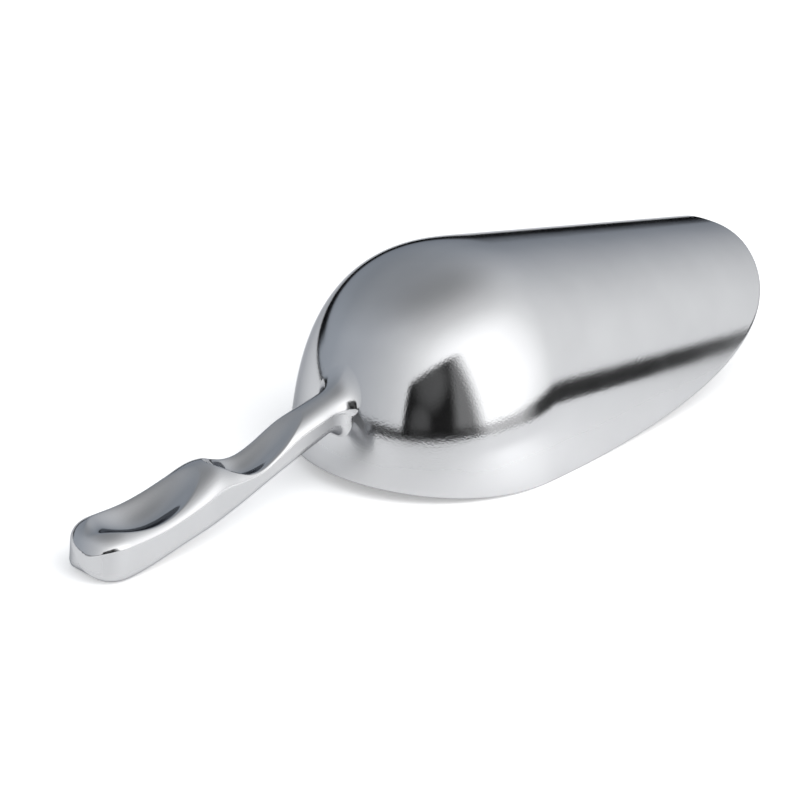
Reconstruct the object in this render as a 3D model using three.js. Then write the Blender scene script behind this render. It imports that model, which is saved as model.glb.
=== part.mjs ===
// Cast aluminium ice scoop with a contoured handle, resting mouth down on its rim and grip end.
// Millimetres. The shape is laid out with the rim in the plane z = 0, +Z towards the crown of the
// bowl and +X towards the lip, then tipped into its resting pose with the table at z = 0.
import * as THREE from 'three';

// Bowl
const BOWL_LENGTH = 189;        // heel to lip
const WALL = 2.8;               // cast wall
const HEEL_HALF_WIDTH = 54;     // half width of the sides, run back to the heel
const LIP_HALF_WIDTH = 39.8;    // the same at the lip
const HEEL_HEIGHT = 76.7;       // crown height, run back to the heel
const LIP_HEIGHT = 64.3;        // crown height at the lip
const HEEL_PLAN_LENGTH = 57.2;  // length of the rounded heel seen from above
const HEEL_DOME_LENGTH = 67.3;  // length of the rounded heel seen from the side
const PLAN_POWER = 2;           // superellipse powers: plan of the heel,
const DOME_POWER = 2.5;         // side view of the heel,
const SECTION_POWER = 2.5;      // and cross-section
const WIDEST_DROP = 0.05;       // fall of the widest line per mm of length
const MOUTH_START = 22.3;       // where the rim leaves its flat part behind the heel
const MOUTH_RUN_POWER = 1.85;   // how late the mouth edge rises
const MOUTH_RISE_POWER = 2.7;   // how steeply it ends at the lip
const LIP_START = 159;          // where the rounded lip begins

// Handle. Heights are measured from the plane of the rim, as [x, value] keys.
const TIP_X = -103.7;           // grip end
const TIP_ROUNDING = 11.5;      // plan radius of the grip end
const ROOT_X = -6.4;            // where the flare into the heel starts
const GRIP_CORNER = 3.2;        // rounding along the two bottom edges
const HALF_WIDTH = [[-103.7, 12.3], [-61.5, 11.1], [-46.6, 9.2], [-29.7, 7.4], [-6.4, 6.4]];
const UNDERSIDE = [[-103.7, -14.2], [-89, -12.8], [-68.9, -6.8], [-43.5, 0.9], [-6.4, 16.1]];
const WALL_TOP = [
  [-103.7, -2.8], [-90.1, -1.6], [-78.4, 0.5], [-63.6, 5.1], [-55.1, 8],
  [-45.6, 8.7], [-37.1, 9.8], [-28.6, 13.5], [-19.1, 18.5], [-6.4, 22.9],
];
const CROWN = [
  [-103.7, 4.6], [-93.3, 5.4], [-72.1, 4.9], [-55.1, 6.9], [-40.3, 5.1],
  [-29.7, 4.8], [-6.4, 4.9],
];
// Finger hollows: centre, reach towards the grip end and towards the heel, half width, depth.
const HOLLOWS = [
  { x: -80.5, back: 20.5, front: 22.5, halfWidth: 10.2, depth: 6.4 },
  { x: -40.5, back: 14, front: 26, halfWidth: 8.2, depth: 6.2 },
];

// Fit between the two regions
const FLARE_SIDE = 2.5;         // reach of the flare onto the heel, up to the parting line
const FLARE_TOP = 12.7;         // and above it
const CUT_GAP = 0.35;           // gap left at the modelling cut
const SKIRT_EDGE = 0.6;         // thickness of the flare where it meets the heel

const METAL = { color: 0xc9cacc, metalness: 1, roughness: 0.3 };

const clamp01 = (t) => Math.min(1, Math.max(0, t));
const superArc = (t, power) => Math.pow(1 - Math.pow(clamp01(t), power), 1 / power);
const signedPower = (v, power) => Math.sign(v) * Math.pow(Math.abs(v), power);

// Smooth curve through [x, value] keys.
function curve(keys, x) {
  let k = 0;
  while (k < keys.length - 2 && x > keys[k + 1][0]) k += 1;
  const slope = (i) => {
    const a = keys[Math.max(0, i - 1)];
    const b = keys[Math.min(keys.length - 1, i + 1)];
    return (b[1] - a[1]) / (b[0] - a[0]);
  };
  const [x0, v0] = keys[k];
  const [x1, v1] = keys[k + 1];
  const h = x1 - x0;
  const t = clamp01((x - x0) / h);
  const t2 = t * t;
  const t3 = t2 * t;
  return v0 * (2 * t3 - 3 * t2 + 1) + slope(k) * h * (t3 - 2 * t2 + t)
    + v1 * (3 * t2 - 2 * t3) + slope(k + 1) * h * (t3 - t2);
}

// Collects a closed triangle mesh from rings of shared vertices.
class Solid {
  constructor() {
    this.points = [];
    this.faces = [];
  }

  ring(points) {
    return points.map((p) => this.points.push(p) - 1);
  }

  quad(a, b, c, d) {
    const corners = [a, b, c, d].filter((v, i, all) => all.indexOf(v) === i);
    this.faces.push([corners[0], corners[1], corners[2]]);
    if (corners.length === 4) this.faces.push([corners[0], corners[2], corners[3]]);
  }

  // Joins two rings of equal length; a ring with one vertex is a pole.
  strip(ringA, ringB, count, isLoop) {
    const pick = (ring, i) => ring[ring.length === 1 ? 0 : i % ring.length];
    const last = isLoop ? count : count - 1;
    for (let i = 0; i < last; i += 1) {
      this.quad(pick(ringA, i), pick(ringB, i), pick(ringB, i + 1), pick(ringA, i + 1));
    }
  }

  volume() {
    return this.faces.reduce((sum, [a, b, c]) => sum
      + this.points[a].dot(this.points[b].clone().cross(this.points[c])) / 6, 0);
  }

  geometry() {
    const faces = this.volume() < 0 ? this.faces.map(([a, b, c]) => [a, c, b]) : this.faces;
    const geometry = new THREE.BufferGeometry().setFromPoints(this.points);
    geometry.setIndex(faces.flat());
    geometry.computeVertexNormals();
    return geometry;
  }
}

// ---- Bowl skin: x runs from heel to lip, angle from the rim (near 0) over the crown (90 deg) ----
function bowlSection(x) {
  const plan = superArc(1 - x / HEEL_PLAN_LENGTH, PLAN_POWER);
  const dome = superArc(1 - x / HEEL_DOME_LENGTH, DOME_POWER);
  const t = x / BOWL_LENGTH;
  const base = -WIDEST_DROP * x;
  return {
    halfWidth: (HEEL_HALF_WIDTH + (LIP_HALF_WIDTH - HEEL_HALF_WIDTH) * t) * plan,
    base,
    height: (HEEL_HEIGHT + (LIP_HEIGHT - HEEL_HEIGHT) * t - base) * dome,
  };
}

function bowlPoint(x, angle) {
  const { halfWidth, base, height } = bowlSection(x);
  const bend = 2 / SECTION_POWER;
  return new THREE.Vector3(
    x,
    -halfWidth * signedPower(Math.cos(angle), bend),
    base + height * signedPower(Math.sin(angle), bend),
  );
}

function bowlNormal(x, angle) {
  const step = 1e-3;
  const alongX = bowlPoint(x + step, angle).sub(bowlPoint(x - step, angle));
  const alongAngle = bowlPoint(x, angle + step).sub(bowlPoint(x, angle - step));
  return alongX.cross(alongAngle).normalize();
}

// Angle at which the section at x is cut by the mouth edge.
function rimAngle(x) {
  const { base, height } = bowlSection(x);
  const run = clamp01((x - MOUTH_START) / (BOWL_LENGTH - MOUTH_START));
  const rise = 1 - superArc(Math.pow(run, MOUTH_RUN_POWER / MOUTH_RISE_POWER), MOUTH_RISE_POWER);
  const edge = (base + height) * rise;
  return Math.asin(Math.pow(clamp01((edge - base) / height), SECTION_POWER / 2));
}

// Stations along the bowl. They close up at the heel and follow the mouth edge at the lip, so that
// both rounded ends keep even steps.
function bowlStations() {
  const heelRows = 12;
  const bodyRows = 10;
  const lipRows = 9;
  const stations = [];
  for (let i = 0; i <= heelRows; i += 1) {
    stations.push(HEEL_PLAN_LENGTH * (1 - Math.cos((i / heelRows) * Math.PI / 2)));
  }
  for (let i = 1; i <= bodyRows; i += 1) {
    stations.push(HEEL_PLAN_LENGTH + (LIP_START - HEEL_PLAN_LENGTH) * (i / bodyRows));
  }
  const firstAngle = rimAngle(LIP_START);
  for (let i = 1; i <= lipRows; i += 1) {
    const wanted = firstAngle + (Math.PI / 2 - firstAngle) * (i / lipRows);
    let low = LIP_START;
    let high = BOWL_LENGTH;
    for (let k = 0; k < 40; k += 1) {
      const x = (low + high) / 2;
      if (rimAngle(x) < wanted) low = x;
      else high = x;
    }
    stations.push(low);
  }
  return stations;
}

function bowlGeometry() {
  const columns = 28;
  const stations = bowlStations();
  const solid = new Solid();
  const outer = [];
  const inner = [];
  const lastRow = stations.length - 1;
  stations.forEach((station, row) => {
    const x = Math.min(Math.max(station, 1e-3), BOWL_LENGTH - 1e-3);
    const start = rimAngle(x);
    const isPole = row === 0 || row === lastRow;
    const outside = [];
    const inside = [];
    for (let i = 0; i <= (isPole ? 0 : columns); i += 1) {
      const across = start + (Math.PI - 2 * start) * (i / columns);
      const angle = row === lastRow ? Math.PI / 2 : across;
      const skin = bowlPoint(x, angle);
      const normal = row === 0 ? new THREE.Vector3(-1, 0, 0) : bowlNormal(x, angle);
      const lining = skin.clone().addScaledVector(normal, -WALL);
      if (x < MOUTH_START) lining.z = Math.max(lining.z, 0);
      outside.push(skin);
      inside.push(lining);
    }
    outer.push(solid.ring(outside));
    inner.push(solid.ring(inside));
  });
  for (let row = 0; row < lastRow; row += 1) {
    solid.strip(outer[row], outer[row + 1], columns + 1, false);
    solid.strip(inner[row + 1], inner[row], columns + 1, false);
    const leftEdge = [outer[row][0], outer[row + 1][0], inner[row + 1][0], inner[row][0]];
    const rightEdge = [outer[row].at(-1), outer[row + 1].at(-1), inner[row + 1].at(-1), inner[row].at(-1)];
    solid.quad(leftEdge[1], leftEdge[0], leftEdge[3], leftEdge[2]);
    solid.quad(...rightEdge);
  }
  return solid.geometry();
}

// ---- Handle ----
function hollowDepth(x, y) {
  return HOLLOWS.reduce((sum, hollow) => {
    const along = (x - hollow.x) / (x < hollow.x ? hollow.back : hollow.front);
    const share = 1 - along * along - (y / hollow.halfWidth) ** 2;
    return sum + hollow.depth * Math.pow(Math.max(share, 0), 1.2);
  }, 0);
}

// One closed section of the grip at x: underside, wall, crowned top with its hollow, mirrored back.
function gripSection(x) {
  const width = curve(HALF_WIDTH, x);
  const bottom = curve(UNDERSIDE, x);
  const wallTop = curve(WALL_TOP, x);
  const crown = curve(CROWN, x);
  const cornerSteps = 3;
  const crownSteps = 8;
  const half = [[0, bottom], [(width - GRIP_CORNER) / 2, bottom]];
  for (let i = 0; i <= cornerSteps; i += 1) {
    const a = (i / cornerSteps) * Math.PI / 2;
    half.push([
      width - GRIP_CORNER * (1 - Math.sin(a)),
      bottom + GRIP_CORNER * (1 - Math.cos(a)),
    ]);
  }
  for (let i = 0; i <= crownSteps; i += 1) {
    const a = (i / crownSteps) * Math.PI / 2;
    const y = width * Math.cos(a);
    half.push([y, wallTop + crown * Math.pow(Math.sin(a), 1.1) - hollowDepth(x, y)]);
  }
  const mirrored = half.slice(1, -1).reverse().map(([y, z]) => [-y, z]);
  const round = 1 - clamp01((x - TIP_X) / TIP_ROUNDING);
  const narrowing = superArc(round, 2.1);
  const thinning = superArc(round, 2.6);
  const middle = (bottom + wallTop) / 2;
  return half.concat(mirrored).map(([y, z]) => new THREE.Vector3(
    x,
    -y * narrowing,
    middle + (z - middle) * thinning,
  ));
}

// Where the outside of the heel lies at a given width and height.
function heelX(y, z) {
  let low = 1e-4;
  let high = HEEL_DOME_LENGTH;
  for (let i = 0; i < 40; i += 1) {
    const x = (low + high) / 2;
    const { halfWidth, base, height } = bowlSection(x);
    const reach = Math.pow(Math.abs(y) / halfWidth, SECTION_POWER)
      + Math.pow(Math.abs(z - base) / height, SECTION_POWER);
    if (reach > 1) low = x;
    else high = x;
  }
  return low;
}

// Reach of the flare from a point of the root section, and its direction in the plane of the section.
function flareSpread({ y, z }) {
  const bottom = curve(UNDERSIDE, ROOT_X);
  const wallTop = curve(WALL_TOP, ROOT_X);
  const across = Math.abs(y) / curve(HALF_WIDTH, ROOT_X);
  const over = Math.atan2(Math.max(z - wallTop, 0) / curve(CROWN, ROOT_X), across) / (Math.PI / 2);
  const turn = THREE.MathUtils.radToDeg(Math.acos(1 - clamp01((z - bottom) / GRIP_CORNER)));
  const tilt = z < wallTop ? turn - 90 : 90 * over;
  const reach = FLARE_SIDE + (FLARE_TOP - FLARE_SIDE) * Math.pow(over, 0.8);
  const angle = THREE.MathUtils.degToRad(tilt);
  const side = Math.abs(y) < 1e-9 ? 0 : Math.sign(y);
  return { reach, outward: new THREE.Vector2(side * Math.cos(angle), Math.sin(angle)) };
}

// Rings that flare from the root of the grip onto the heel, tangent to both.
function flareRings(root, before) {
  const steps = 6;
  const middle = root.reduce((sum, p) => sum + p.z, 0) / root.length;
  const rings = [];
  for (let s = 1; s <= steps; s += 1) rings.push([]);
  const landing = [];
  root.forEach((start, i) => {
    const { reach, outward } = flareSpread(start);
    const y = start.y + outward.x * reach;
    const z = start.z + outward.y * reach;
    const inY = start.y + outward.x * reach * 0.9;
    const inZ = start.z + outward.y * reach * 0.9;
    const end = new THREE.Vector3(heelX(y, z) - CUT_GAP - SKIRT_EDGE, y, z);
    const leave = start.clone().sub(before[i]).normalize();
    const arrive = new THREE.Vector3(heelX(y, z) - heelX(inY, inZ), y - inY, z - inZ).normalize();
    const span = end.x - start.x;
    const bend = new THREE.CubicBezierCurve3(
      start,
      start.clone().addScaledVector(leave, span * 0.5),
      end.clone().addScaledVector(arrive, -reach * 0.8),
      end,
    );
    for (let s = 1; s <= steps; s += 1) rings[s - 1].push(bend.getPoint(s / steps));
    landing.push([y, z]);
  });
  // The cut face follows the heel at a constant gap, from the landing line in to its middle.
  for (const share of [1, 0.66, 0.33]) {
    rings.push(landing.map(([y, z]) => {
      const inner = new THREE.Vector3(0, y * share, middle + (z - middle) * share);
      inner.x = heelX(inner.y, inner.z) - CUT_GAP;
      return inner;
    }));
  }
  rings.push([new THREE.Vector3(heelX(0, middle) - CUT_GAP, 0, middle)]);
  return rings;
}

function handleGeometry() {
  const tipRows = 7;
  const gripRows = 30;
  const stations = [];
  for (let i = 1; i <= tipRows; i += 1) {
    stations.push(TIP_X + TIP_ROUNDING * (1 - Math.cos((i / tipRows) * Math.PI / 2)));
  }
  const firstX = stations.at(-1);
  for (let i = 1; i <= gripRows; i += 1) {
    stations.push(firstX + (ROOT_X - firstX) * (i / gripRows));
  }
  const sections = stations.map(gripSection);
  const tipHeight = (curve(UNDERSIDE, TIP_X) + curve(WALL_TOP, TIP_X)) / 2;
  const rings = [
    [new THREE.Vector3(TIP_X, 0, tipHeight)],
    ...sections,
    ...flareRings(sections.at(-1), sections.at(-2)),
  ];
  const solid = new Solid();
  const rows = rings.map((points) => solid.ring(points));
  const count = sections[0].length;
  for (let i = 0; i < rows.length - 1; i += 1) solid.strip(rows[i], rows[i + 1], count, true);
  return solid.geometry();
}

function region(name, geometry) {
  const mesh = new THREE.Mesh(geometry, new THREE.MeshStandardMaterial(METAL));
  mesh.name = name;
  return mesh;
}

// ---- Assembly, tipped into its resting pose and set on the table ----
const scoop = new THREE.Group();
scoop.name = 'ice_scoop';
const bowl = region('bowl', bowlGeometry());
const handle = region('handle', handleGeometry());
scoop.add(bowl, handle);

// Lowest point of a region once the scoop is tipped by an angle about Y.
function lowest(mesh, angle) {
  const position = mesh.geometry.getAttribute('position');
  let low = Infinity;
  for (let i = 0; i < position.count; i += 1) {
    low = Math.min(low, position.getZ(i) * Math.cos(angle) - position.getX(i) * Math.sin(angle));
  }
  return low;
}

// The scoop rests on the sides of its rim and on the grip end, so both have the same lowest height.
let restAngle = 0;
let angleStep = THREE.MathUtils.degToRad(16);
for (let i = 0; i < 30; i += 1) {
  angleStep /= 2;
  restAngle += lowest(handle, restAngle) < lowest(bowl, restAngle) ? angleStep : -angleStep;
}

const box = new THREE.Box3();
for (const mesh of scoop.children) {
  mesh.geometry.rotateY(restAngle);
  mesh.geometry.computeBoundingBox();
  box.union(mesh.geometry.boundingBox);
}
for (const mesh of scoop.children) {
  mesh.geometry.translate(-(box.min.x + box.max.x) / 2, 0, -box.min.z);
}

export default scoop;
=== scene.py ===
# Looks of the cast aluminium ice scoop: fine surfaces over the CAD frame, metal, table, light and camera.
# The shape is in millimetres in the scoop's own frame, with the flat part of the rim at z = 0 and +X
# towards the lip, until place() tips it into the resting pose and turns it into metres. The table,
# the lights and the camera are in metres from the start.
import math

import bpy
import numpy as np
from mathutils import Matrix, Vector


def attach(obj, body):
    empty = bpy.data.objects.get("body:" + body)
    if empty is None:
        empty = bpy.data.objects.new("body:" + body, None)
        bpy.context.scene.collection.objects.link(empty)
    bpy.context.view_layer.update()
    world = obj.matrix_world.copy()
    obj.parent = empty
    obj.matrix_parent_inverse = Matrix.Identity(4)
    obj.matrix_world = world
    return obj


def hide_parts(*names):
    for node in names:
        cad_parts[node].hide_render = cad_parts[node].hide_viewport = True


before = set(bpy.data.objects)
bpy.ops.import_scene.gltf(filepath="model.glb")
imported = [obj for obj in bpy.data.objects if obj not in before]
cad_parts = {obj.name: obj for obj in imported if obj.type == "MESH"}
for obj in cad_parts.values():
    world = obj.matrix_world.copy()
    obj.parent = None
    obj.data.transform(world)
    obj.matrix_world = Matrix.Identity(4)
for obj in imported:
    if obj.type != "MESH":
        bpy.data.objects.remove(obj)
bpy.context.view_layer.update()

# ---- Dimensions -------------------------------------------------------------------------------
BOWL_LENGTH = 189        # heel to lip
WALL = 2.8               # cast wall
EDGE_ROUND = 1.0         # how far the rounded edge of the rim stands out from the wall's end
HEEL_HALF_WIDTH = 54     # half width of the sides, run back to the heel
LIP_HALF_WIDTH = 39.8    # the same at the lip
HEEL_HEIGHT = 76.7       # crown height, run back to the heel
LIP_HEIGHT = 64.3        # crown height at the lip
HEEL_PLAN_LENGTH = 57.2  # length of the rounded heel seen from above
HEEL_DOME_LENGTH = 67.3  # length of the rounded heel seen from the side
PLAN_POWER = 2           # superellipse powers: plan of the heel,
DOME_POWER = 2.5         # side view of the heel,
SECTION_POWER = 2.5      # and cross-section
WIDEST_DROP = 0.05       # fall of the widest line per mm of length
MOUTH_START = 22.3       # where the rim leaves its flat part around the heel
MOUTH_RUN_POWER = 1.85   # how late the mouth edge rises
MOUTH_RISE_POWER = 2.7   # how steeply it ends at the lip
LIP_START = 159          # where the rounded lip begins

TIP_X = -103.7           # grip end
TIP_ROUNDING = 11.5      # plan radius of the grip end
ROOT_X = -6.4            # where the flare into the heel starts
GRIP_CORNER = 3.2        # rounding along the two bottom edges
HALF_WIDTH = ((-103.7, 12.3), (-61.5, 11.1), (-46.6, 9.2), (-29.7, 7.4), (-6.4, 6.4))
UNDERSIDE = ((-103.7, -14.2), (-89, -12.8), (-68.9, -6.8), (-43.5, 0.9), (-6.4, 16.1))
WALL_TOP = (
    (-103.7, -2.8), (-90.1, -1.6), (-78.4, 0.5), (-63.6, 5.1), (-55.1, 8),
    (-45.6, 8.7), (-37.1, 9.8), (-28.6, 13.5), (-19.1, 18.5), (-6.4, 22.9),
)
CROWN = (
    (-103.7, 4.6), (-93.3, 5.4), (-72.1, 4.9), (-55.1, 6.9), (-40.3, 5.1),
    (-29.7, 4.8), (-6.4, 4.9),
)
# Finger hollows: centre, reach towards the grip end and towards the heel, half width, depth.
HOLLOWS = ((-80.5, 20.5, 22.5, 10.2, 6.4), (-40.5, 14, 26, 8.2, 6.2))
HOLLOW_POWER = 1.2       # how softly the hollows end: 1 is a crease
CROWN_POWER = 1.1        # roundness of the crown: 1 is an ellipse
TIP_PLAN_POWER = 2.1     # superellipse powers of the grip end: seen from above
TIP_SIDE_POWER = 2.6     # and from the side
FLARE_SIDE = 2.5         # reach of the flare onto the heel, beside and below the handle
FLARE_TOP = 12.7         # and above it
FLARE_GROWTH = 0.8       # how late the reach grows from the one to the other: 1 is evenly
FLARE_LEAVE = 0.5        # how long it keeps the grip's direction, as a share of its length,
FLARE_ARRIVE = 0.8       # and the heel's, as a share of its reach
FLARE_SINK = 0.12        # how far the flare's edge dips under the heel's surface
EDGE_POWER = 0.8         # roundness of the rim's edge: 1 is an ellipse, less is squarer

REST_ANGLE = math.radians(5.643453)  # tip about Y that rests both the rim and the grip end
REST_SHIFT = -45.186394              # then along X,
REST_LIFT = 4.203331                 # and up

# Rows and columns of the fine meshes.
HEEL_ROWS = 72
BODY_ROWS = 62
LIP_ROWS = 44
BOWL_COLUMNS = 150
EDGE_STEPS = 8
TIP_ROWS = 26
GRIP_ROWS = 190
FLAT_POINTS = 9          # half the grip's underside,
CORNER_POINTS = 9        # its bottom edge,
WALL_POINTS = 12         # its wall,
CROWN_POINTS = 41        # and half its crown
FLARE_STEPS = 22
HIDDEN_SHARES = (0.75, 0.5, 0.25)    # rings of the handle's hidden end face, from its edge inwards
HALVINGS = 50            # steps of a search by halving


# ---- Shape ------------------------------------------------------------------------------------
def clamp01(t):
    return np.clip(t, 0, 1)


def super_arc(t, power):
    return (1 - clamp01(t) ** power) ** (1 / power)


def signed_power(v, power):
    return np.sign(v) * np.abs(v) ** power


def curve(keys, x):
    """Smooth curve through (x, value) keys."""
    key_x = np.array([k[0] for k in keys], float)
    key_v = np.array([k[1] for k in keys], float)
    ahead = np.minimum(np.arange(len(keys)) + 1, len(keys) - 1)
    behind = np.maximum(np.arange(len(keys)) - 1, 0)
    slope = (key_v[ahead] - key_v[behind]) / (key_x[ahead] - key_x[behind])
    k = np.clip(np.searchsorted(key_x, x) - 1, 0, len(keys) - 2)
    h = key_x[k + 1] - key_x[k]
    t = clamp01((x - key_x[k]) / h)
    rise = 3 * t ** 2 - 2 * t ** 3
    return (
        key_v[k] * (1 - rise) + key_v[k + 1] * rise
        + slope[k] * h * (t ** 3 - 2 * t ** 2 + t) + slope[k + 1] * h * (t ** 3 - t ** 2)
    )


def bowl_section(x):
    """Half width, height of the widest line, and height above it, of the bowl's outside at x."""
    plan = super_arc(1 - x / HEEL_PLAN_LENGTH, PLAN_POWER)
    dome = super_arc(1 - x / HEEL_DOME_LENGTH, DOME_POWER)
    t = x / BOWL_LENGTH
    base = -WIDEST_DROP * x
    half_width = (HEEL_HALF_WIDTH + (LIP_HALF_WIDTH - HEEL_HALF_WIDTH) * t) * plan
    return half_width, base, (HEEL_HEIGHT + (LIP_HEIGHT - HEEL_HEIGHT) * t - base) * dome


def bowl_point(x, angle):
    half_width, base, height = bowl_section(x)
    bend = 2 / SECTION_POWER
    y = -half_width * signed_power(np.cos(angle), bend)
    z = base + height * signed_power(np.sin(angle), bend)
    return np.stack([x + 0 * angle, y, z], axis=-1)


def bowl_normal(x, angle):
    """Outward unit normal, from the gradient of the section's superellipse."""
    step = np.minimum(1e-3, x * 1e-3)
    half_width, base, height = bowl_section(x)
    wider, base_on, taller = bowl_section(x + step)
    slim, base_off, shorter = bowl_section(x - step)
    grow_width = (wider - slim) / (2 * step)
    grow_base = (base_on - base_off) / (2 * step)
    grow_height = (taller - shorter) / (2 * step)
    n = SECTION_POWER
    across = -signed_power(np.cos(angle), 2 / n)
    up = signed_power(np.sin(angle), 2 / n)
    by_y = signed_power(across, n - 1) / half_width
    by_z = signed_power(up, n - 1) / height
    by_x = (
        -np.abs(across) ** n * grow_width / half_width
        - by_z * grow_base
        - np.abs(up) ** n * grow_height / height
    )
    normal = np.stack([by_x, by_y, by_z], axis=-1)
    return normal / np.linalg.norm(normal, axis=-1, keepdims=True)


def mouth_angle(x):
    """Angle at which the section at x is cut by the mouth edge."""
    _, base, height = bowl_section(x)
    run = clamp01((x - MOUTH_START) / (BOWL_LENGTH - MOUTH_START))
    rise = 1 - super_arc(run ** (MOUTH_RUN_POWER / MOUTH_RISE_POWER), MOUTH_RISE_POWER)
    edge = (base + height) * rise
    return np.arcsin(clamp01((edge - base) / height) ** (SECTION_POWER / 2))


def hollow_depth(x, y):
    total = 0 * y
    for centre, back, front, half_width, depth in HOLLOWS:
        along = (x - centre) / np.where(x < centre, back, front)
        share = 1 - along ** 2 - (y / half_width) ** 2
        total = total + depth * np.maximum(share, 0) ** HOLLOW_POWER
    return total


def heel_x(y, z):
    """Where the outside of the heel lies at a given width and height."""
    low = np.full(np.shape(y), 1e-5)
    high = np.full(np.shape(y), float(HEEL_DOME_LENGTH))
    for _ in range(HALVINGS):
        x = (low + high) / 2
        half_width, base, height = bowl_section(x)
        reach = (np.abs(y) / half_width) ** SECTION_POWER + (np.abs(z - base) / height) ** SECTION_POWER
        low = np.where(reach > 1, x, low)
        high = np.where(reach > 1, high, x)
    return low


def place(points):
    """From the scoop's frame in millimetres to the resting pose in metres."""
    x, y, z = np.moveaxis(np.asarray(points, float), -1, 0)
    cos = math.cos(REST_ANGLE)
    sin = math.sin(REST_ANGLE)
    placed = np.stack([x * cos + z * sin + REST_SHIFT, y, z * cos - x * sin + REST_LIFT], axis=-1)
    return placed / 1000


# ---- Meshes -----------------------------------------------------------------------------------
class Solid:
    """A closed mesh made from rings of shared vertices."""

    def __init__(self):
        self.points = []
        self.faces = []

    def ring(self, points):
        first = len(self.points)
        self.points.extend(np.asarray(points, float).reshape(-1, 3).tolist())
        return list(range(first, len(self.points)))

    def strip(self, ring_a, ring_b):
        """Joins two rows of equal length. A corner shared by both rows makes a triangle."""
        for a, b, c, d in zip(ring_a, ring_b, ring_b[1:], ring_a[1:]):
            corners = list(dict.fromkeys((a, b, c, d)))
            if len(corners) > 2:
                self.faces.append(corners)

    def to_object(self, name):
        points = np.array(self.points)
        first, second, third = (points[[f[i] for f in self.faces]] for i in range(3))
        last = points[[f[-1] for f in self.faces]]
        volume = np.sum(first * np.cross(second, third)) + np.sum(first * np.cross(third, last))
        faces = self.faces if volume > 0 else [f[::-1] for f in self.faces]
        mesh = bpy.data.meshes.new(name)
        mesh.from_pydata(place(points).tolist(), [], faces)
        mesh.validate()
        mesh.shade_smooth()
        piece = bpy.data.objects.new(name, mesh)
        bpy.context.scene.collection.objects.link(piece)
        return piece


def mark_sharp(piece, keys):
    """Marks the edges between these vertex pairs as sharp, so that shading doesn't run across them."""
    wanted = {tuple(sorted(k)) for k in keys}
    for edge in piece.data.edges:
        if tuple(sorted(edge.vertices)) in wanted:
            edge.use_edge_sharp = True


def lip_stations():
    """Stations on the lip that follow the mouth edge in even steps of its angle."""
    first = float(mouth_angle(np.array(LIP_START)))
    wanted = first + (math.pi / 2 - first) * np.arange(1, LIP_ROWS + 1) / LIP_ROWS
    low = np.full(LIP_ROWS, float(LIP_START))
    high = np.full(LIP_ROWS, float(BOWL_LENGTH))
    for _ in range(HALVINGS):
        x = (low + high) / 2
        low = np.where(mouth_angle(x) < wanted, x, low)
        high = np.where(mouth_angle(x) < wanted, high, x)
    return low


def rim_line():
    """The right-hand edge of the bowl's outside, drawn back by EDGE_ROUND to leave room for the round.

    Returns x, angle, and the direction along the wall towards the edge, for each station."""
    heel = HEEL_PLAN_LENGTH * (1 - np.cos(np.arange(1, HEEL_ROWS + 1) / HEEL_ROWS * math.pi / 2))
    body = HEEL_PLAN_LENGTH + (LIP_START - HEEL_PLAN_LENGTH) * np.arange(1, BODY_ROWS + 1) / BODY_ROWS
    x = np.concatenate([heel, body, lip_stations()])
    angle = mouth_angle(x)
    angle[-1] = math.pi / 2
    edge = bowl_point(x, angle)
    tangent = np.gradient(edge, axis=0)
    tangent[-1] = (0, 1, 0)
    tangent /= np.linalg.norm(tangent, axis=1, keepdims=True)
    outward = np.cross(bowl_normal(x, np.maximum(angle, 1e-3)), tangent)
    outward /= np.linalg.norm(outward, axis=1, keepdims=True)
    outward[outward[:, 2] > 0] *= -1
    outward[-1] = outward[-2] * (1, 0, 1)
    moved = edge - EDGE_ROUND * outward
    new_x = np.maximum(moved[:, 0], x[0] * 0.5)
    half_width, base, height = bowl_section(new_x)
    up = clamp01((moved[:, 2] - base) / height) ** (SECTION_POWER / 2)
    across = clamp01(np.abs(moved[:, 1]) / half_width) ** (SECTION_POWER / 2)
    new_angle = np.arctan2(up, across)
    new_angle[-1] = math.pi / 2
    # The heel's own end: the one point behind, at the height of the moved edge.
    low = 1e-7
    high = 0.1
    for _ in range(HALVINGS):
        middle = (low + high) / 2
        _, base, height = bowl_section(middle)
        if base + height < EDGE_ROUND:
            low = middle
        else:
            high = middle
    x = np.concatenate([[high], new_x])
    angle = np.concatenate([[math.pi / 2], new_angle])
    outward = np.vstack([[(0, 0, -1)], outward])
    return x, angle, outward


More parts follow.
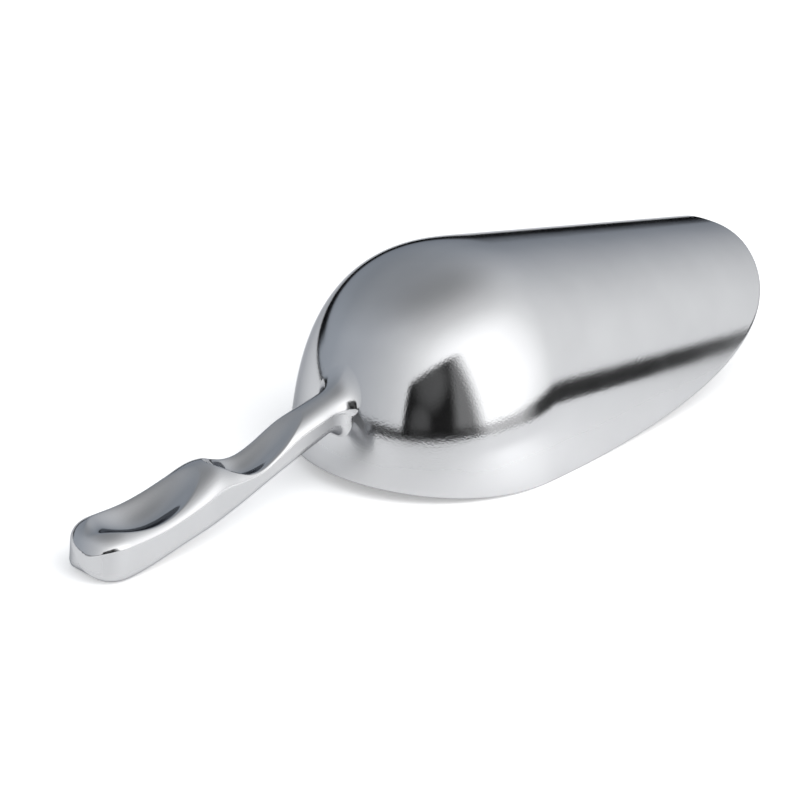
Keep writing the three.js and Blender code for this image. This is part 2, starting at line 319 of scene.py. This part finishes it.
def bowl_piece():
    solid = Solid()
    stations, starts, outwards = rim_line()
    mirror = np.array((1, -1, 1))
    last_row = len(stations) - 1
    rows = []
    for row, (x, start, outward) in enumerate(zip(stations, starts, outwards)):
        is_pole = row in (0, last_row)
        share = np.zeros(1) if is_pole else np.linspace(0, 1, BOWL_COLUMNS + 1)
        angle = start + (math.pi - 2 * start) * share
        skin = bowl_point(x, angle)
        normal = bowl_normal(x, angle)
        if row == 0:
            normal = np.array([(-1.0, 0.0, 0.0)])
        lining = skin - WALL * normal
        turn = np.linspace(0, math.pi, EDGE_STEPS + 2)[1:-1, None]
        middle = skin[0] - WALL / 2 * normal[0]
        edge = (
            middle + WALL / 2 * signed_power(np.cos(turn), EDGE_POWER) * normal[0]
            + EDGE_ROUND * np.sin(turn) ** EDGE_POWER * outward
        )
        outer = solid.ring(skin)
        inner = solid.ring(lining)
        near = solid.ring(edge)
        far = near if is_pole else solid.ring(edge * mirror)
        if is_pole:
            outer = outer * (BOWL_COLUMNS + 1)
            inner = inner * (BOWL_COLUMNS + 1)
        rows.append((outer, inner, near, far))
    for (outer, inner, near, far), (outer_2, inner_2, near_2, far_2) in zip(rows, rows[1:]):
        solid.strip(outer, outer_2)
        solid.strip(inner_2, inner)
        solid.strip([inner[0]] + near[::-1] + [outer[0]], [inner_2[0]] + near_2[::-1] + [outer_2[0]])
        solid.strip([outer[-1]] + far + [inner[-1]], [outer_2[-1]] + far_2 + [inner_2[-1]])
    return solid.to_object("cast_bowl")


def grip_sections(x):
    """Closed sections of the grip at each x: underside, wall, crowned top with its hollow, and back."""
    width = curve(HALF_WIDTH, x)[:, None]
    bottom = curve(UNDERSIDE, x)[:, None]
    wall_top = curve(WALL_TOP, x)[:, None]
    crown = curve(CROWN, x)[:, None]
    flat = np.linspace(0, 1, FLAT_POINTS)[None, :-1]
    turn = np.linspace(0, math.pi / 2, CORNER_POINTS)[None, :]
    climb = np.linspace(0, 1, WALL_POINTS)[None, 1:-1]
    over = np.linspace(0, math.pi / 2, CROWN_POINTS)[None, :]
    corner_top = bottom + GRIP_CORNER
    y = np.concatenate([
        (width - GRIP_CORNER) * flat,
        width - GRIP_CORNER * (1 - np.sin(turn)),
        width + 0 * climb,
        width * np.cos(over),
    ], axis=1)
    z = np.concatenate([
        bottom + 0 * flat,
        bottom + GRIP_CORNER * (1 - np.cos(turn)),
        corner_top + (wall_top - corner_top) * climb,
        wall_top + crown * np.sin(over) ** CROWN_POWER,
    ], axis=1)
    on_top = flat.size + turn.size + climb.size
    z[:, on_top:] -= hollow_depth(x[:, None], y[:, on_top:])
    y = np.concatenate([y, -y[:, -2:0:-1]], axis=1)
    z = np.concatenate([z, z[:, -2:0:-1]], axis=1)
    tip = 1 - clamp01((x - TIP_X) / TIP_ROUNDING)[:, None]
    middle = (bottom + wall_top) / 2
    return np.stack([
        x[:, None] + 0 * y,
        -y * super_arc(tip, TIP_PLAN_POWER),
        middle + (z - middle) * super_arc(tip, TIP_SIDE_POWER),
    ], axis=-1)


def flare_spread(y, z):
    """Reach of the flare from points of the root section, and its direction in the section's plane.

    It runs straight down from the flat underside, sideways from the walls and straight up from the
    top of the crown, and turns between them over the rounded edges."""
    root = np.array(float(ROOT_X))
    width, bottom, wall_top, crown = (curve(k, root) for k in (HALF_WIDTH, UNDERSIDE, WALL_TOP, CROWN))
    across = np.abs(y) / width
    over = np.arctan2(np.maximum(z - wall_top, 0) / crown, across) / (math.pi / 2)
    turn = np.degrees(np.arccos(1 - clamp01((z - bottom) / GRIP_CORNER)))
    tilt = np.where(z < wall_top, turn - 90, 90 * over)
    reach = FLARE_SIDE + (FLARE_TOP - FLARE_SIDE) * over ** FLARE_GROWTH
    side = np.where(np.abs(y) < 1e-9, 0, np.sign(y))
    angle = np.radians(tilt)
    return reach, np.column_stack([side * np.cos(angle), np.sin(angle)])


def flare_rings(root, before):
    """Rings that flare from the root of the grip onto the heel, tangent to both."""
    just_short = 0.9
    middle = root[:, 2].mean()
    reach, outward = flare_spread(root[:, 1], root[:, 2])
    land = root[:, 1:] + outward * reach[:, None]
    short = root[:, 1:] + outward * reach[:, None] * just_short
    land_x = heel_x(land[:, 0], land[:, 1])
    end = np.column_stack([land_x + FLARE_SINK, land])
    leave = root - before
    leave /= np.linalg.norm(leave, axis=1, keepdims=True)
    arrive = np.column_stack([land_x - heel_x(short[:, 0], short[:, 1]), land - short])
    arrive /= np.linalg.norm(arrive, axis=1, keepdims=True)
    span = (end[:, 0] - root[:, 0])[:, None]
    hold_1 = root + leave * span * FLARE_LEAVE
    hold_2 = end - arrive * reach[:, None] * FLARE_ARRIVE
    rings = []
    for s in range(1, FLARE_STEPS + 1):
        t = s / FLARE_STEPS
        rings.append(
            (1 - t) ** 3 * root + 3 * t * (1 - t) ** 2 * hold_1
            + 3 * t ** 2 * (1 - t) * hold_2 + t ** 3 * end
        )
    # The hidden end face follows the heel, just under its surface, in to the middle.
    for share in HIDDEN_SHARES:
        y = land[:, 0] * share
        z = middle + (land[:, 1] - middle) * share
        rings.append(np.column_stack([heel_x(y, z) + FLARE_SINK, y, z]))
    centre = np.array([[float(heel_x(0.0, middle)) + FLARE_SINK, 0, middle]])
    return rings, centre


def handle_piece():
    tip = TIP_X + TIP_ROUNDING * (1 - np.cos(np.arange(1, TIP_ROWS + 1) / TIP_ROWS * math.pi / 2))
    grip = tip[-1] + (ROOT_X - tip[-1]) * np.arange(1, GRIP_ROWS + 1) / GRIP_ROWS
    sections = grip_sections(np.concatenate([tip, grip]))
    tip_height = float(curve(UNDERSIDE, np.array(TIP_X)) + curve(WALL_TOP, np.array(TIP_X))) / 2
    flare, centre = flare_rings(sections[-1], sections[-2])
    solid = Solid()
    rows = [solid.ring([(TIP_X, 0, tip_height)])]
    rows += [solid.ring(s) for s in list(sections) + flare]
    rows += [solid.ring(centre)]
    count = len(sections[0])
    loops = [r * (count + 1) if len(r) == 1 else r + r[:1] for r in rows]
    for loop, following in zip(loops, loops[1:]):
        solid.strip(loop, following)
    piece = solid.to_object("cast_handle")
    # The flare's last ring comes before the hidden rings and the centre.
    landing = loops[-2 - len(HIDDEN_SHARES)]
    mark_sharp(piece, zip(landing, landing[1:]))
    return piece


# ---- Materials --------------------------------------------------------------------------------
def node(tree, kind, settings=None, **inputs):
    """Adds a node, sets its properties and inputs, and links any input given as a socket.

    An input goes by its name with _ for a space, or by i and its number."""
    made = tree.nodes.new(kind)
    for key, value in (settings or {}).items():
        setattr(made, key, value)
    for key, value in inputs.items():
        by_number = key[0] == "i" and key[1:].isdigit()
        socket = made.inputs[int(key[1:]) if by_number else key.replace("_", " ")]
        if isinstance(value, bpy.types.NodeSocket):
            tree.links.new(value, socket)
        else:
            socket.default_value = value
    return made


def ramp(tree, factor, stops, interpolation="LINEAR"):
    """A ramp over (position, grey or colour) stops."""
    made = tree.nodes.new("ShaderNodeValToRGB")
    elements = made.color_ramp.elements
    made.color_ramp.interpolation = interpolation
    while len(elements) < len(stops):
        elements.new(0.5)
    for element, (position, value) in zip(elements, stops):
        element.position = position
        element.color = (value, value, value, 1) if isinstance(value, (int, float)) else (*value, 1)
    tree.links.new(factor, made.inputs["Fac"])
    return made.outputs["Color"]


def math_node(tree, operation, a, b=None):
    made = node(tree, "ShaderNodeMath", {"operation": operation}, i0=a)
    if isinstance(b, bpy.types.NodeSocket):
        tree.links.new(b, made.inputs[1])
    elif b is not None:
        made.inputs[1].default_value = b
    return made.outputs[0]


def noise(tree, place_on, scale, detail):
    made = node(tree, "ShaderNodeTexNoise", Vector=place_on, Scale=scale, Detail=detail)
    return made.outputs["Fac"]


def new_material(name):
    material = bpy.data.materials.new(name)
    material.use_nodes = True
    material.node_tree.nodes.clear()
    return material, material.node_tree


RIM_FINISH = (0.010, 0.025)    # heights between which the rim's brushed finish fades out
WALL_LEAN = (0.06, 0.14)       # lean (Z of the normal) over which the walls' brushed finish fades out
ROOT_ZONE = (-0.056, -0.040)   # X between which the handle's root is brushed
ROOT_FINISH = [(0.0, 0.0), (0.35, 0.7), (0.6, 0.7), (1.0, 0.0)]    # how much, along that zone


def near_rim(tree, place_on):
    """1 at the bowl's rim, fading out to 0 higher up its walls."""
    height = node(tree, "ShaderNodeSeparateXYZ", Vector=place_on).outputs["Z"]
    return node(
        tree, "ShaderNodeMapRange", {"interpolation_type": "SMOOTHSTEP"},
        Value=height, From_Min=RIM_FINISH[0], From_Max=RIM_FINISH[1], To_Min=1.0, To_Max=0.0,
    ).outputs["Result"]


def on_walls(tree, place_on):
    """1 on upright walls, less around the handle's root, and 0 on the surfaces that lean elsewhere."""
    normal = node(tree, "ShaderNodeNewGeometry").outputs["Normal"]
    lean = math_node(tree, "ABSOLUTE", node(tree, "ShaderNodeSeparateXYZ", Vector=normal).outputs["Z"])
    upright = node(
        tree, "ShaderNodeMapRange",
        Value=lean, From_Min=WALL_LEAN[0], From_Max=WALL_LEAN[1], To_Min=1.0, To_Max=0.0,
    ).outputs["Result"]
    along = node(tree, "ShaderNodeSeparateXYZ", Vector=place_on).outputs["X"]
    zone = node(
        tree, "ShaderNodeMapRange", Value=along, From_Min=ROOT_ZONE[0], From_Max=ROOT_ZONE[1],
    ).outputs["Result"]
    return math_node(tree, "MAXIMUM", upright, ramp(tree, zone, ROOT_FINISH, "EASE"))


# Noise of the cast surface: scale and detail, and height of its relief in metres.
GRAIN = (1400.0, 2.0)
GRAIN_HEIGHT = 0.000014
WAVES = (90.0, 1.0)
WAVES_HEIGHT = 0.000012
STROKES = (900.0, 3.0)
STROKES_HEIGHT = 0.000008
STROKES_SQUEEZE = (1.0, 1.0, 0.03)    # squeezed along Z before the noise, which makes upright strokes
CLOUDS = (38.0, 3.0)                  # slow changes of polish and colour
CLOUD_RANGE = (0.3, 0.7)
CLOUD_POLISH = (0.85, 1.2)            # roughness at the two ends of that range, as a factor
CLOUD_TINT = ((0.505, 0.508, 0.517), (0.54, 0.543, 0.552))
GRAZING_TINT = (0.45, 0.46, 0.48, 1.0)


def cast_metal(name, polish, brushed_part, brushed_roughness):
    """Polished aluminium casting: fine grain over slow waves, with upright strokes where brushed."""
    material, tree = new_material(name)
    place_on = node(tree, "ShaderNodeTexCoord").outputs["Object"]
    grain = noise(tree, place_on, *GRAIN)
    waves = noise(tree, place_on, *WAVES)
    cloud = noise(tree, place_on, *CLOUDS)
    squeezed = node(tree, "ShaderNodeMapping", Vector=place_on, Scale=STROKES_SQUEEZE).outputs[0]
    strokes = noise(tree, squeezed, *STROKES)
    brushed = brushed_part(tree, place_on)
    relief = math_node(tree, "MULTIPLY", grain, GRAIN_HEIGHT)
    relief = math_node(tree, "ADD", relief, math_node(tree, "MULTIPLY", waves, WAVES_HEIGHT))
    strokes = math_node(tree, "MULTIPLY", math_node(tree, "MULTIPLY", strokes, brushed), STROKES_HEIGHT)
    relief = math_node(tree, "ADD", relief, strokes)
    bump = node(tree, "ShaderNodeBump", Strength=1.0, Distance=1.0, Height=relief).outputs["Normal"]
    rough = node(
        tree, "ShaderNodeMapRange", Value=cloud, From_Min=CLOUD_RANGE[0], From_Max=CLOUD_RANGE[1],
        To_Min=polish * CLOUD_POLISH[0], To_Max=polish * CLOUD_POLISH[1],
    ).outputs["Result"]
    rough = math_node(tree, "ADD", rough, math_node(tree, "MULTIPLY", brushed, brushed_roughness))
    tint = ramp(tree, cloud, list(zip(CLOUD_RANGE, CLOUD_TINT)))
    shader = node(
        tree, "ShaderNodeBsdfPrincipled", Base_Color=tint, Metallic=1.0, Roughness=rough, Normal=bump,
        Specular_Tint=GRAZING_TINT,
    ).outputs["BSDF"]
    node(tree, "ShaderNodeOutputMaterial", Surface=shader)
    return material


TABLE_CLOUDS = (14.0, 3.0)
TABLE_TINT = [(0.3, 0.9), (0.7, 0.915)]
TABLE_GLOW = 0.3         # keeps the shadows on it pale


def table_material():
    material, tree = new_material("white_table")
    place_on = node(tree, "ShaderNodeTexCoord").outputs["Object"]
    tint = ramp(tree, noise(tree, place_on, *TABLE_CLOUDS), TABLE_TINT)
    shader = node(
        tree, "ShaderNodeBsdfPrincipled", Base_Color=tint, Roughness=0.6,
        Emission_Color=(1.0, 1.0, 1.0, 1.0), Emission_Strength=TABLE_GLOW,
    ).outputs["BSDF"]
    node(tree, "ShaderNodeOutputMaterial", Surface=shader)
    return material


# ---- Pieces -----------------------------------------------------------------------------------
BOWL_POLISH = 0.09       # roughness of the polished metal,
BOWL_BRUSHED = 0.2       # and what brushing adds to it
HANDLE_POLISH = 0.10
HANDLE_BRUSHED = 0.22

bowl = bowl_piece()
handle = handle_piece()
bowl.data.materials.append(
    cast_metal("polished_cast_aluminium", BOWL_POLISH, near_rim, BOWL_BRUSHED)
)
handle.data.materials.append(
    cast_metal("tumbled_cast_aluminium", HANDLE_POLISH, on_walls, HANDLE_BRUSHED)
)
for piece, cad_node, finish in ((bowl, "bowl", "bowl_metal"), (handle, "handle", "handle_metal")):
    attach(piece, "root")
    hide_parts(cad_node)

# ---- Table ------------------------------------------------------------------------------------
TABLE_NEAR = 0.30        # table edge on the camera's side, from the middle of the scoop
TABLE_FAR = 0.95         # and behind the scoop,
TABLE_BEHIND = 70        # in this direction, in degrees from +X
TABLE_CUT = 0.105        # how much closer it comes beside the lip,
TABLE_BESIDE = -48       # in this direction
TABLE_CUT_POWER = 3      # and how narrow that stretch is
TABLE_STEPS = 96
TABLE_DROP = 0.0001      # keeps the table clear of the metal that rests on it


def table_piece():
    rim = []
    for i in range(TABLE_STEPS):
        a = 2 * math.pi * i / TABLE_STEPS
        behind = max(0.0, math.cos(a - math.radians(TABLE_BEHIND)))
        beside = max(0.0, math.cos(a - math.radians(TABLE_BESIDE))) ** TABLE_CUT_POWER
        radius = TABLE_NEAR + (TABLE_FAR - TABLE_NEAR) * behind - TABLE_CUT * beside
        rim.append((radius * math.cos(a), radius * math.sin(a), 0.0))
    mesh = bpy.data.meshes.new("table_top")
    mesh.from_pydata(rim, [], [list(range(TABLE_STEPS))])
    top = bpy.data.objects.new("table_top", mesh)
    bpy.context.scene.collection.objects.link(top)
    top.location.z = -TABLE_DROP
    top.data.materials.append(table_material())
    return top


table_piece()


# ---- Light ------------------------------------------------------------------------------------
# A direction is an azimuth from +X and an elevation, in degrees, as seen from the scoop.
def direction(azimuth, elevation):
    a = math.radians(azimuth)
    e = math.radians(elevation)
    return Vector((math.cos(a) * math.cos(e), math.sin(a) * math.cos(e), math.sin(e)))


def alignment(tree, sight, azimuth, elevation):
    """Cosine of the angle between the line of sight and a direction."""
    aim = direction(azimuth, elevation)
    made = node(tree, "ShaderNodeVectorMath", {"operation": "DOT_PRODUCT"}, i0=sight, i1=aim)
    return made.outputs["Value"]


def patch(tree, sight, azimuth, elevation, inner, outer):
    """1 within inner degrees of a direction, 0 beyond outer degrees."""
    return node(
        tree, "ShaderNodeMapRange", {"interpolation_type": "SMOOTHSTEP"},
        Value=alignment(tree, sight, azimuth, elevation),
        From_Min=math.cos(math.radians(outer)), From_Max=math.cos(math.radians(inner)),
    ).outputs["Result"]


def half_room(tree, sight, start, end, softness):
    """1 on the right of the way from one direction to another, 0 on its left, looking out."""
    across = direction(*start).cross(direction(*end)).normalized()
    side = node(tree, "ShaderNodeVectorMath", {"operation": "DOT_PRODUCT"}, i0=sight, i1=across)
    return node(
        tree, "ShaderNodeMapRange", {"interpolation_type": "SMOOTHSTEP"},
        Value=side.outputs["Value"], From_Min=-softness, From_Max=softness,
    ).outputs["Result"]


def band(tree, height, bottom, full_low, full_high, top):
    """1 between full_low and full_high degrees of elevation, 0 outside bottom and top.

    The height is the sine of the elevation."""
    sines = [math.sin(math.radians(d)) for d in (bottom, full_low, full_high, top)]
    rise = node(
        tree, "ShaderNodeMapRange", {"interpolation_type": "SMOOTHSTEP"},
        Value=height, From_Min=sines[0], From_Max=sines[1],
    ).outputs["Result"]
    fall = node(
        tree, "ShaderNodeMapRange", {"interpolation_type": "SMOOTHSTEP"},
        Value=height, From_Min=sines[2], From_Max=sines[3], To_Min=1.0, To_Max=0.0,
    ).outputs["Result"]
    return math_node(tree, "MULTIPLY", rise, fall)


ROOM_STRENGTH = 2.9      # brightness of the room that the metal reflects
LIGHT_AT = (-94, 12)     # middle of the large soft light, at the camera's right
# The room's colour by the cosine of the angle to the light, taken from -1 to 1 onto 0 to 1.
ROOM_COLOURS = [
    (0.00, (0.180, 0.196, 0.218)),
    (0.12, (0.183, 0.198, 0.219)),
    (0.22, (0.214, 0.227, 0.245)),
    (0.28, (0.233, 0.244, 0.260)),
    (0.41, (0.268, 0.276, 0.288)),
    (0.50, (0.298, 0.306, 0.315)),
    (0.59, (0.337, 0.342, 0.349)),
    (0.67, (0.384, 0.388, 0.393)),
    (0.77, (0.466, 0.469, 0.472)),
    (0.85, (0.575, 0.577, 0.580)),
    (0.93, (0.690, 0.690, 0.692)),
    (1.00, (0.74, 0.74, 0.74)),
]
# How the room dims towards the ceiling, by the sine of the elevation.
CEILING = [(0.64, 1.0), (0.77, 0.93), (0.87, 0.82), (0.94, 0.74), (1.0, 0.68)]
SHADE = (80, 55, 5, 50)  # a dimmer patch high up behind the scoop: direction, inner, outer
SHADE_DEPTH = 0.3

HORIZON = (-40, -30, -1.9, 0.3)         # elevations of the dark floor beyond the table
HORIZON_DEPTH = 0.97
HORIZON_LIT = (-82, 0)                  # the floor is fainter in this direction,
HORIZON_FADE = [(0.84, 1.0), (0.95, 0.6)]
HORIZON_LOW = (-30, 0)                  # and ends lower in this one,
HORIZON_FALL = 0.055                    # by this sine of elevation
BEHIND_BAND = (-8, -4, 3, 7.5)          # the dark line behind the scoop: its elevations,
BEHIND_PATCH = (62, 4, 28, 44)          # its direction, inner and outer
BEHIND_DEPTH = 0.985

# Corners of the dark figure beside the lens, each edge with its softness.
FIGURE_EDGES = [
    ((-94, -8), (-115, 38), 0.13),
    ((-117, 38), (-160, 20), 0.04),
    ((-160, 20), (-162, -10), 0.03),
]
FIGURE_LEVEL = 0.01                     # how grey the figure is,
FIGURE_MIDDLE = 0.07                    # what its middle adds,
FIGURE_PATCHES = [(-147, 2, 1, 11), (-140, 21, 3, 18)]
FIGURE_SIDE = 0.13                      # and what its side nearer the lip adds,
FIGURE_SIDE_EDGE = ((-124, 38), (-116, -8), 0.08)


def product(tree, a, b):
    return math_node(tree, "MULTIPLY", a, b)


def rest_of(tree, share):
    """What a share leaves of 1."""
    return math_node(tree, "SUBTRACT", 1.0, share)


def room_glow(tree, sight, height):
    """Brightness of the room before anything dark is put into it."""
    glow = product(tree, ramp(tree, height, CEILING), ROOM_STRENGTH)
    shade = product(tree, patch(tree, sight, *SHADE), SHADE_DEPTH)
    return product(tree, glow, rest_of(tree, shade))


def horizon(tree, sight, height):
    """Share of the light that the dark floor beyond the table's edge leaves."""
    strength = ramp(tree, alignment(tree, sight, *HORIZON_LIT), HORIZON_FADE)
    fall = math_node(tree, "MAXIMUM", alignment(tree, sight, *HORIZON_LOW), 0.0)
    fall = product(tree, fall, HORIZON_FALL)
    floor = product(tree, band(tree, math_node(tree, "ADD", height, fall), *HORIZON), strength)
    return rest_of(tree, product(tree, floor, HORIZON_DEPTH))


def line_behind(tree, sight, height):
    """Share of the light that the dark line behind the scoop leaves."""
    line = product(tree, band(tree, height, *BEHIND_BAND), patch(tree, sight, *BEHIND_PATCH))
    return rest_of(tree, product(tree, line, BEHIND_DEPTH))


def figure(tree, sight):
    """Share of the light that the dark figure beside the lens leaves.

    The figure is greyer down its middle and on its side nearer the lip."""
    first, second, third = (half_room(tree, sight, *edge) for edge in FIGURE_EDGES)
    inside = product(tree, product(tree, first, second), third)
    low, high = (patch(tree, sight, *place_at) for place_at in FIGURE_PATCHES)
    middle = product(tree, math_node(tree, "MAXIMUM", low, high), FIGURE_MIDDLE)
    side = product(tree, half_room(tree, sight, *FIGURE_SIDE_EDGE), FIGURE_SIDE)
    level = math_node(tree, "ADD", math_node(tree, "ADD", middle, FIGURE_LEVEL), side)
    return rest_of(tree, product(tree, inside, rest_of(tree, level)))


def studio_world():
    """The studio in the metal's reflections. The camera itself sees plain white."""
    world = bpy.data.worlds.new("studio")
    bpy.context.scene.world = world
    world.use_nodes = True
    tree = world.node_tree
    tree.nodes.clear()
    sight = node(tree, "ShaderNodeTexCoord").outputs["Generated"]
    height = node(tree, "ShaderNodeSeparateXYZ", Vector=sight).outputs["Z"]
    facing = math_node(tree, "ADD", alignment(tree, sight, *LIGHT_AT), 1.0)
    room = ramp(tree, product(tree, facing, 0.5), ROOM_COLOURS)
    dark = product(tree, horizon(tree, sight, height), line_behind(tree, sight, height))
    dark = product(tree, dark, figure(tree, sight))
    strength = product(tree, room_glow(tree, sight, height), dark)
    lit = node(tree, "ShaderNodeBackground", Color=room, Strength=strength).outputs[0]
    plain = node(tree, "ShaderNodeBackground", Color=(1, 1, 1, 1), Strength=1.0).outputs[0]
    seen = node(tree, "ShaderNodeLightPath").outputs["Is Camera Ray"]
    mixed = node(tree, "ShaderNodeMixShader", i0=seen, i1=lit, i2=plain).outputs[0]
    node(tree, "ShaderNodeOutputWorld", Surface=mixed)


studio_world()


def soft_light(name, azimuth, elevation, distance, size, power):
    """A round lamp aimed at the scoop, seen neither by the camera nor in the metal."""
    light = bpy.data.lights.new(name, "AREA")
    light.shape = "DISK"
    light.size = size
    light.energy = power
    lamp = bpy.data.objects.new(name, light)
    bpy.context.scene.collection.objects.link(lamp)
    spot = direction(azimuth, elevation)
    lamp.location = spot * distance
    lamp.rotation_euler = spot.to_track_quat("Z", "Y").to_euler()
    lamp.visible_camera = False
    lamp.visible_glossy = False


soft_light("overhead", azimuth=-75, elevation=58, distance=1.3, size=0.9, power=3.5)
soft_light("table_glow", azimuth=-84, elevation=21, distance=0.125, size=0.04, power=0.03)

# ---- Camera -----------------------------------------------------------------------------------
CAMERA_AZIMUTH = -44.09  # from -Y, counterclockwise from above, in degrees
CAMERA_ELEVATION = 23.33
CAMERA_ROLL = 1.02
CAMERA_DISTANCE = 0.8786
CAMERA_TARGET = Vector((-0.01137, 0.00028, 0.0212))
CAMERA_LENS = 115.55     # millimetres, as is the sensor
SENSOR_WIDTH = 36
CLIP_START = 0.01


def make_camera():
    azimuth = math.radians(CAMERA_AZIMUTH)
    elevation = math.radians(CAMERA_ELEVATION)
    back = Vector((
        math.sin(azimuth) * math.cos(elevation),
        -math.cos(azimuth) * math.cos(elevation),
        math.sin(elevation),
    ))
    lens = bpy.data.cameras.new("camera")
    lens.sensor_width = SENSOR_WIDTH
    lens.lens = CAMERA_LENS
    lens.clip_start = CLIP_START
    camera = bpy.data.objects.new("camera", lens)
    bpy.context.scene.collection.objects.link(camera)
    turn = back.to_track_quat("Z", "Y") @ Matrix.Rotation(math.radians(CAMERA_ROLL), 3, "Z").to_quaternion()
    camera.rotation_euler = turn.to_euler()
    camera.location = CAMERA_TARGET + back * CAMERA_DISTANCE
    bpy.context.scene.camera = camera


make_camera()
bpy.context.scene.view_settings.view_transform = "Standard"
